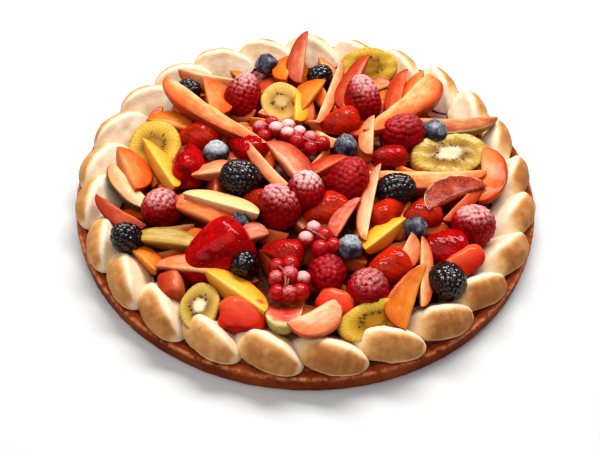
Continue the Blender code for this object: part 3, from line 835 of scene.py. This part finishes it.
CURRANT_SPRIGS = (
    ("currants_1", (-10, 13, 38), (
        (-19, 8, -1), (-12, 12, 0), (-16, 0, 0), (-9, 4, 2), (-2, 8, 1), (-2, 0, 2),
        (4, -5, 1), (5, 3, 1), (12, -1, 0), (19, -5, 0), (12, -9, 0),
    ), 1.0),
    ("currants_2", (8, -66, 35), ((-7, 1, 0), (-3, 8, 1), (3, 3, 1), (8, -3, 0), (1, -6, 1)), 0.85),
    ("currants_3", (-8, -91, 31), (
        (-6, 8, 2), (1, 9, 3), (-6, 0, 2), (1, 1, 4), (8, 0, 2), (-5, -8, 0), (7, -7, 0), (1, -9, 1),
    ), 0.8),
)
STALKS = (
    ((-14, -84, 36), (-10, -90, 38), (-9, -97, 37), (-10, -103, 33)),
    ((-5, -82, 37), (-7, -91, 38), (-8, -98, 36)),
    ((-26, 20, 41), (-17, 17, 43), (-8, 12, 43), (2, 6, 42), (12, 5, 41)),
    ((-14, 24, 42), (-10, 17, 43), (-6, 11, 43)),
    ((1, -60, 39), (6, -64, 40), (12, -68, 39)),
)

# Cut fruit: piece, look, shape, across, away, height, length, width, depth, heading, rise, roll, shape's options.
CUT_FRUIT = (
    ("strawberry_1", "berry_orange", "half", -67, 22, 30, 28, 22, 9, 10, 5, 180, {"cut": 0.55}),
    ("strawberry_2", "berry_red", "half", -38, 12, 34, 34, 20, 9, -48, 5, 180, {"cut": 0.55}),
    ("strawberry_3", "berry_red", "half", -70, -3, 30, 32, 21, 11, -84, 5, 180, {"cut": 0.9}),
    ("strawberry_4", "berry_red", "half", -49, -72, 29, 44, 34, 13, 32, 18, 200, {"cut": 0.6}),
    ("strawberry_5", "berry_orange", "half", 12, -40, 34, 28, 22, 9, 28, 0, 180, {"cut": 0.55}),
    ("strawberry_6", "berry_orange", "half", 48, -37, 32, 32, 15, 9, 234, 6, 195, {"cut": 0.6}),
    (None, "berry_orange", "half", 67, -36, 28, 24, 19, 9, 20, -5, 180, {"cut": 0.6}),
    ("strawberry_7", "berry_red", "half", 78, -60, 26, 29, 24, 10, 9, -5, 180, {"cut": 0.7}),
    ("strawberry_8", "berry_flesh", "block", 87, -70, 24, 28, 14, 14, 36, 8, 30, {}),
    ("strawberry_9", "berry_orange", "half", 20, 35, 33, 26, 20, 9, 17, 0, 180, {"cut": 0.6}),
    ("strawberry_10", "berry_orange", "half", 46, -76, 27, 27, 21, 10, 32, 0, 180, {"cut": 0.6}),
    ("strawberry_11", "berry_flesh", "block", -31, -108, 22, 25, 19, 14, -5, 0, 20, {}),
    (None, "berry_flesh", "block", 18, -100, 24, 20, 15, 12, -20, 0, 15, {}),
    (None, "berry_flesh", "half", 49, 7, 32, 24, 16, 8, 15, -10, 150, {"cut": 0.5}),
    (None, "berry_flesh", "half", -11, -69, 31, 24, 16, 9, -14, 0, 120, {"cut": 0.5}),
    (None, "berry_orange", "half", -28, -34, 34, 17, 13, 7, -13, 0, 180, {"cut": 0.6}),
    ("kiwi_1", "kiwi", "slice", -93, 14, 25, 34, 36, 7, -7, 5, 25, {}),
    ("kiwi_2", "kiwi_pale", "slice", -17, 52, 31, 28, 27, 7, 0, 0, 30, {}),
    ("kiwi_3", "kiwi", "slice", 40, 103, 21, 42, 27, 7, 5, 0, 40, {}),
    ("kiwi_4", "kiwi_olive", "slice", 87, 14, 26, 54, 30, 7, 16, -4, 18, {}),
    ("kiwi_5", "kiwi_olive", "slice", -54, -103, 21, 22, 29, 7, -5, 0, 12, {}),
    ("kiwi_6", "kiwi", "slice", 38, -108, 22, 42, 22, 7, 22, 0, 30, {}),
    ("peach_1", "peach", "wedge", -63, 31, 34, 92, 22, 19, -43, 2, -62, {"open_angle": 60, "tip": 0.5}),
    ("peach_2", "peach", "wedge", 64, 45, 31, 78, 26, 24, 55, -5, -62, {"open_angle": 55, "tip": -0.5, "bluntness": 3}),
    ("peach_3", "peach", "wedge", 72, -15, 29, 74, 21, 18, 9, -6, -60, {"open_angle": 60, "tip": 0.3}),
    ("peach_4", "peach_orange", "wedge", -57, -41, 28, 40, 20, 17, -25, 0, 62, {"open_angle": 60}),
    ("peach_5", "peach", "wedge", 35, -37, 36, 56, 10, 10, -100, -5, -50, {"open_angle": 60, "tip": -0.3}),
    ("peach_6", "mango_deep", "wedge", 54, -94, 24, 42, 24, 18, 72, 8, 50, {"open_angle": 60, "tip": 0.6}),
    ("peach_7", "peach_rose", "wedge", -8, 95, 32, 38, 17, 15, 84, 26, 40, {"tip": 0.4}),
    ("fig_1", "fig", "wedge", 84, -22, 29, 44, 18, 16, 34, -5, 62, {"open_angle": 55}),
    ("fig_2", "fig_tan", "wedge", 91, 34, 27, 60, 22, 19, 8, -4, -58, {"open_angle": 60, "tip": 0.4}),
    ("mango_1", "mango", "wedge", -86, -6, 28, 50, 13, 12, -60, 4, 20, {}),
    ("mango_2", "mango", "wedge", -34, -96, 26, 41, 16, 13, -36, -3, 30, {}),
    ("mango_3", "mango", "wedge", 43, -58, 32, 32, 13, 12, 44, 3, 30, {}),
    ("melon_1", "melon", "wedge", -46, -40, 34, 48, 13, 12, -22, 5, 40, {}),
    (None, "fig_pale", "wedge", -105, -23, 24, 48, 13, 12, -50, 2, -62, {"open_angle": 55}),
    (None, "peach_pale", "wedge", 14, 63, 30, 78, 8, 8, -102, 8, 20, {}),
    (None, "peach_orange", "wedge", -59, 53, 28, 44, 22, 17, -77, 8, 40, {}),
    (None, "peach", "wedge", -67, 79, 25, 40, 16, 12, -14, 0, 10, {}),
    (None, "peach_orange", "wedge", -104, -8, 24, 38, 20, 15, -64, 0, 25, {}),
    (None, "peach_red", "wedge", -107, -43, 23, 38, 13, 12, -33, -3, -30, {"tip": -0.3}),
    (None, "peach_rose", "wedge", -29, -60, 32, 18, 13, 12, 18, 5, 60, {}),
    (None, "fig_rind", "wedge", -10, -111, 23, 20, 17, 15, -3, 0, -62, {}),
    (None, "peach_pale", "wedge", 8, -112, 24, 31, 22, 15, 33, 0, -40, {}),
    (None, "peach", "wedge", -62, -78, 25, 36, 16, 14, -8, 3, 55, {"tip": -0.4}),
    (None, "peach_red", "block", -71, -89, 21, 17, 13, 12, -80, 0, 20, {}),
    (None, "peach_red", "wedge", 92, -29, 29, 44, 8, 8, -126, 3, 30, {}),
    (None, "peach_pale", "wedge", -23, -15, 38, 48, 7, 8, -54, 0, -30, {"open_angle": 50}),
    (None, "peach_rose", "wedge", -9, -9, 37, 40, 17, 15, -56, 0, 50, {"open_angle": 60}),
    (None, "peach", "wedge", 66, -80, 27, 44, 9, 9, -93, -8, 30, {}),
    (None, "peach_pale", "wedge", 57, -68, 28, 24, 12, 11, -116, -12, 30, {}),
    (None, "peach_rose", "wedge", 21, -48, 35, 30, 13, 11, 62, 8, 50, {"tip": 0.4}),
    (None, "peach_red", "wedge", 27, 72, 31, 50, 16, 14, 70, 8, 40, {"tip": 0.3}),
    (None, "peach_orange", "wedge", 111, -3, 24, 44, 19, 16, 79, 3, -62, {"open_angle": 60}),
    (None, "peach_pale", "wedge", -54, -13, 33, 26, 15, 13, 7, 5, 50, {"tip": -0.4}),
    (None, "peach_red", "wedge", 11, -10, 36, 28, 12, 11, 38, 0, 40, {}),
    (None, "peach_pale", "wedge", -30, -53, 31, 16, 8, 8, -23, 0, 30, {}),
    (None, "peach_red", "wedge", 57, 66, 27, 56, 13, 11, 79, -5, 40, {}),
    (None, "peach_orange", "wedge", 68, 70, 26, 42, 15, 13, 75, -4, 20, {}),
    (None, "mango_deep", "wedge", -85, 34, 26, 30, 16, 14, -15, 0, 50, {}),
    (None, "mango", "wedge", -6, 42, 34, 30, 11, 10, -90, 4, 20, {}),
    (None, "mango_deep", "wedge", -1, 58, 31, 36, 16, 14, 67, -5, 50, {}),
    (None, "mango_deep", "wedge", -17, 89, 26, 30, 15, 12, 81, -5, 40, {}),
    (None, "mango_deep", "wedge", -86, -72, 21, 23, 12, 11, -44, 0, 40, {}),
    (None, "melon_green", "wedge", -76, -61, 26, 38, 13, 12, -9, 3, 55, {}),
    (None, "peach_pale", "wedge", 37, 15, 37, 34, 11, 10, 86, 0, 30, {}),
)
BELOW = ("peach_orange", "peach_red", "mango_deep", "peach")
BITS_BELOW = 100
GOLDEN_ANGLE = 2.399963
SHAPES = {"half": half_shape, "slice": slice_shape, "wedge": wedge_shape, "block": block_shape}

PEACH_SKIN = (198, 78, 34)
LOOKS = {
    "berry_red": strawberry_look("strawberry_red", (186, 4, 8), (228, 58, 26), (250, 150, 110)),
    "berry_orange": strawberry_look("strawberry_orange", (214, 44, 8), (232, 92, 40), (250, 160, 104)),
    "berry_flesh": strawberry_look("strawberry_flesh", (190, 16, 8), (210, 44, 18), (230, 92, 54)),
    "kiwi": kiwi_look("kiwi", (228, 190, 84), (204, 156, 48), (140, 96, 24), (176, 126, 36)),
    "kiwi_pale": kiwi_look("kiwi_pale", (232, 196, 112), (206, 164, 78), (168, 122, 48), (216, 182, 116)),
    # Duller kiwi flesh: partly its own olive tone and partly painted shade for slices lying under other fruit.
    "kiwi_olive": kiwi_look("kiwi_olive", (206, 174, 84), (172, 134, 56), (140, 98, 34), (236, 216, 176)),
    "peach": stone_fruit_look("peach", PEACH_SKIN, (206, 88, 38), (222, 126, 72), (250, 194, 138)),
    "peach_pale": stone_fruit_look("peach_pale", (206, 104, 62), (212, 108, 66), (228, 140, 94), (248, 190, 146)),
    "peach_orange": stone_fruit_look("peach_orange", (196, 72, 18), (206, 78, 20), (214, 100, 40), (238, 146, 86)),
    "peach_red": stone_fruit_look("peach_red", (150, 34, 10), (168, 44, 16), (184, 66, 32), (214, 112, 72)),
    "peach_rose": stone_fruit_look("peach_rose", (160, 40, 22), (172, 54, 34), (202, 94, 64), (240, 166, 128)),
    "mango": stone_fruit_look("mango", (220, 134, 28), (226, 140, 32), (236, 170, 54), (246, 194, 90), 0.3),
    "mango_deep": stone_fruit_look("mango_deep", (190, 92, 12), (192, 82, 12), (204, 110, 26), (230, 148, 66), 0.5),
    "melon": stone_fruit_look("melon", (214, 164, 96), (226, 186, 122), (230, 192, 134), (240, 210, 158), 0.3),
    "melon_green": stone_fruit_look("melon_green", (170, 136, 54), (158, 120, 40), (180, 142, 54), (200, 162, 78), 0.3),
    "fig": fig_look("fig", (132, 32, 16), (172, 68, 40)),
    "fig_tan": stone_fruit_look("fig_tan", (170, 136, 60), (126, 40, 14), (178, 94, 60), (226, 166, 112)),
    "fig_rind": stone_fruit_look("fig_rind", (226, 212, 130), (246, 216, 160), (222, 104, 76), (196, 44, 32)),
    "fig_pale": stone_fruit_look("fig_pale", (84, 82, 34), (236, 140, 92), (240, 164, 118), (250, 212, 160)),
}
SLOT_OF = {"berry": "strawberry", "kiwi": "kiwi", "peach": "peach", "mango": "mango", "melon": "melon", "fig": "fig"}


def place_berries():
    look = raspberry_look()
    for seed, row in enumerate(RASPBERRIES):
        node, across, away, up, length, width, heading, lean, dust, hollow = row
        turn = turn_to(heading, lean)
        # The sugared side leans back towards the light, which makes it partly a painted highlight.
        above = np.array(turn).T @ np.array([0.1, 0.25, 1.0])
        shape = drupelet_berry(length * MM, width * MM, 3.6 * MM, seed, hollow * MM, 0.22, 1.3, dust, above)
        add_piece(node + "_fruit", moved(shape, turn, (across * MM, away * MM, up * MM)), look, "raspberry", node)
    look = bramble_look()
    for seed, (node, across, away, up, length, width, heading, lean, dust) in enumerate(BRAMBLES, 40):
        turn = turn_to(heading, lean)
        above = np.array(turn).T @ np.array([0.1, 0.25, 1.0])
        shape = drupelet_berry(length * MM, width * MM, 3.7 * MM, seed, 0, 0.14, 1.7, dust, above)
        add_piece(node + "_fruit", moved(shape, turn, (across * MM, away * MM, up * MM)), look, "bramble", node)
    look = blueberry_look()
    for seed, (node, across, away, up, length, width, heading, lean, dust) in enumerate(BLUEBERRIES, 60):
        shape = blueberry_shape(length * MM, width * MM, seed, dust)
        spot = (across * MM, away * MM, up * MM)
        add_piece(node + "_fruit", moved(shape, turn_to(heading, lean), spot), look, "blueberry", node)


def place_currants():
    look = currant_look()
    for number, (node, middle, offsets, dust) in enumerate(CURRANT_SPRIGS):
        rng = np.random.default_rng(number)
        shapes = []
        for seed, offset in enumerate(offsets):
            size = CURRANT_SIZE * MM * rng.uniform(0.9, 1.04)
            pale_sugar_and_sheen = dust * rng.choice([0.2, 0.6, 1.1])
            spot = [(m + o) * MM for m, o in zip(middle, offset)]
            shapes.append(moved(currant_shape(size, 10 * number + seed, pale_sugar_and_sheen), Matrix.Identity(3), spot))
        add_piece(node + "_fruit", add_up(shapes), look, "currants", node)
    stalk_look = plain_look("stalk", (130, 60, 40), (196, 120, 96), 0.5)
    stalks = add_up([moved(tube(points, 0.5), Matrix.Identity(3), (0, 0, 0)) for points in STALKS])
    add_piece("currant_stalks", stalks, stalk_look, "currants")


def place_cut_fruit():
    kiwi_specks, berry_specks = [], []
    for seed, row in enumerate(CUT_FRUIT, 500):
        node, look, kind, across, away, up, length, width, depth, heading, rise, roll, options = row
        shape = SHAPES[kind](length * MM, width * MM, depth * MM, seed, **options)
        turn = turn_along(heading, rise, roll)
        spot = (across * MM, away * MM, up * MM)
        if kind == "half":
            shape, achenes = shape
            berry_specks += strawberry_specks(achenes, turn, spot)
        slot = SLOT_OF[look.split("_")[0]]
        nodes = [node] if node else []
        name = node + "_fruit" if node else f"{look}_more_{seed}"
        add_piece(name, moved(shape, turn, spot), LOOKS[look], slot, *nodes)
        if slot == "kiwi":
            kiwi_specks += kiwi_seeds(length, width, depth, seed, turn, spot)
    add_piece("kiwi_seeds", add_up(kiwi_specks), plain_look("kiwi_seed", (52, 34, 12), (104, 74, 28), 0.35), "kiwi")
    achene_look = plain_look("achene", (176, 30, 10), (206, 78, 28), 0.4)
    add_piece("strawberry_seeds", add_up(berry_specks), achene_look, "strawberry")


def strawberry_specks(achenes, turn, spot):
    """The seeds in a strawberry's dimples, each lying along the berry and facing out."""
    placed = []
    for place, facing in achenes:
        along = np.cross([0.0, 1.0, 0.0], facing)
        along = along / max(np.linalg.norm(along), 1e-6)
        own = Matrix(np.stack([along, np.cross(facing, along), facing], axis=1).tolist())
        placed.append(moved(speck(1.3 * MM, 0.7 * MM, 0.45 * MM), turn @ own, Vector(spot) + turn @ Vector(place)))
    return placed


def place_fruit_below():
    """Bits of fruit that fill the gaps, on a spiral over the mound, one piece for each look."""
    bits = {look: [] for look in BELOW}
    for number in range(BITS_BELOW):
        rng = np.random.default_rng(900 + number)
        radius = 109 * math.sqrt((number + 0.5) / BITS_BELOW)
        angle = number * GOLDEN_ANGLE
        look = BELOW[number % len(BELOW)]
        length, width, depth = rng.uniform(20, 30), rng.uniform(12, 17), rng.uniform(10, 13)
        shape = wedge_shape(length * MM, width * MM, depth * MM, 900 + number, tip=0.3, stations=20, around=28)
        level = float(mound_height(np.array(radius * MM))) / MM + 4
        spot = (radius * math.cos(angle) * MM, radius * math.sin(angle) * MM, level * MM)
        turn = turn_along(rng.uniform(0, 360), rng.uniform(-8, 8), rng.uniform(-70, 70))
        bits[look].append(moved(shape, turn, spot))
    for look, shapes in bits.items():
        add_piece(f"{look}_below", add_up(shapes), LOOKS[look], SLOT_OF[look.split("_")[0]])


def kiwi_seeds(length, width, depth, seed, turn, spot):
    rng = np.random.default_rng(seed)
    placed = []
    for _ in range(KIWI_SEEDS):
        angle = rng.uniform(0, math.tau)
        out = rng.uniform(0.3, 0.5)
        middle = Vector((length / 2 * out * math.cos(angle), width / 2 * out * math.sin(angle), depth * 0.5 + 0.1)) * MM
        own = Matrix.Rotation(angle, 3, "Z")
        placed.append(moved(speck(1.7 * MM, 0.9 * MM, 0.6 * MM), turn @ own, Vector(spot) + turn @ middle))
    return placed


def place_baking():
    add_piece("crust_baked", moved(crust_shape(), Matrix.Identity(3), (0, 0, 0)), crust_look(), "crust", "crust")
    add_piece("filling_mound", moved(filling_shape(), Matrix.Identity(3), (0, 0, 0)), filling_look(), "filling",
              "filling")
    add_piece("meringue_petals", border_shape(), meringue_look(), "meringue", "meringue_border")


# ---------------------------------------------------------------- floor, lights and camera

def add_stage():
    mesh = bpy.data.meshes.new("floor")
    mesh.from_pydata([(-6, -6, 0), (6, -6, 0), (6, 6, 0), (-6, 6, 0)], [], [(0, 1, 2, 3)])
    floor = bpy.data.objects.new("floor", mesh)
    bpy.context.scene.collection.objects.link(floor)
    look = Look("floor", 0.9)
    where = look.node("ShaderNodeTexCoord").outputs["Object"]
    look.set("Base Color", look.ramp(look.noise(2, where=where), (0.3, (214, 214, 214)), (0.7, (218, 218, 218))))
    mesh.materials.append(look.material)
    world = bpy.data.worlds.new("studio")
    world.use_nodes = True
    world.node_tree.nodes["Background"].inputs["Color"].default_value = (1, 1, 1, 1)
    world.node_tree.nodes["Background"].inputs["Strength"].default_value = 0.2
    bpy.context.scene.world = world
    for name, power, size, spot in (
        ("key", 16.0, (1.2, 0.3), (0.14, 0.62, 0.96)),
        ("fill", 11.0, (1.6, 1.6), (-0.5, -0.35, 1.45)),
    ):
        light = bpy.data.lights.new(name, "AREA")
        light.shape = "RECTANGLE"
        light.energy = power
        light.size, light.size_y = size
        lamp = bpy.data.objects.new(name, light)
        lamp.location = spot
        lamp.rotation_euler = (Vector((0, 0, 0)) - Vector(spot)).to_track_quat("-Z", "Y").to_euler()
        bpy.context.scene.collection.objects.link(lamp)


def add_camera():
    """Three-quarter view from the front, a little over 45 degrees up, rolled slightly."""
    distance, raised = 0.56, math.radians(46.9)
    place = Vector((0, -distance * math.cos(raised), distance * math.sin(raised)))
    ahead = (Vector((-0.0028, -0.0237, 0)) - place).normalized()
    right = ahead.cross(Vector((0, 0, 1))).normalized()
    over = right.cross(ahead)
    roll = math.radians(1.5)
    across = right * math.cos(roll) + over * math.sin(roll)
    upward = over * math.cos(roll) - right * math.sin(roll)
    lens = bpy.data.cameras.new("camera")
    lens.lens = 53.76
    lens.sensor_width = 36
    lens.clip_start = 0.01
    camera = bpy.data.objects.new("camera", lens)
    camera.matrix_world = Matrix((across, upward, -ahead)).transposed().to_4x4()
    camera.location = place
    bpy.context.scene.collection.objects.link(camera)
    bpy.context.scene.camera = camera
    bpy.context.scene.view_settings.view_transform = "Standard"
    bpy.context.scene.view_settings.look = "Medium High Contrast"


place_baking()
place_berries()
place_currants()
place_cut_fruit()
place_fruit_below()
add_stage()
add_camera()
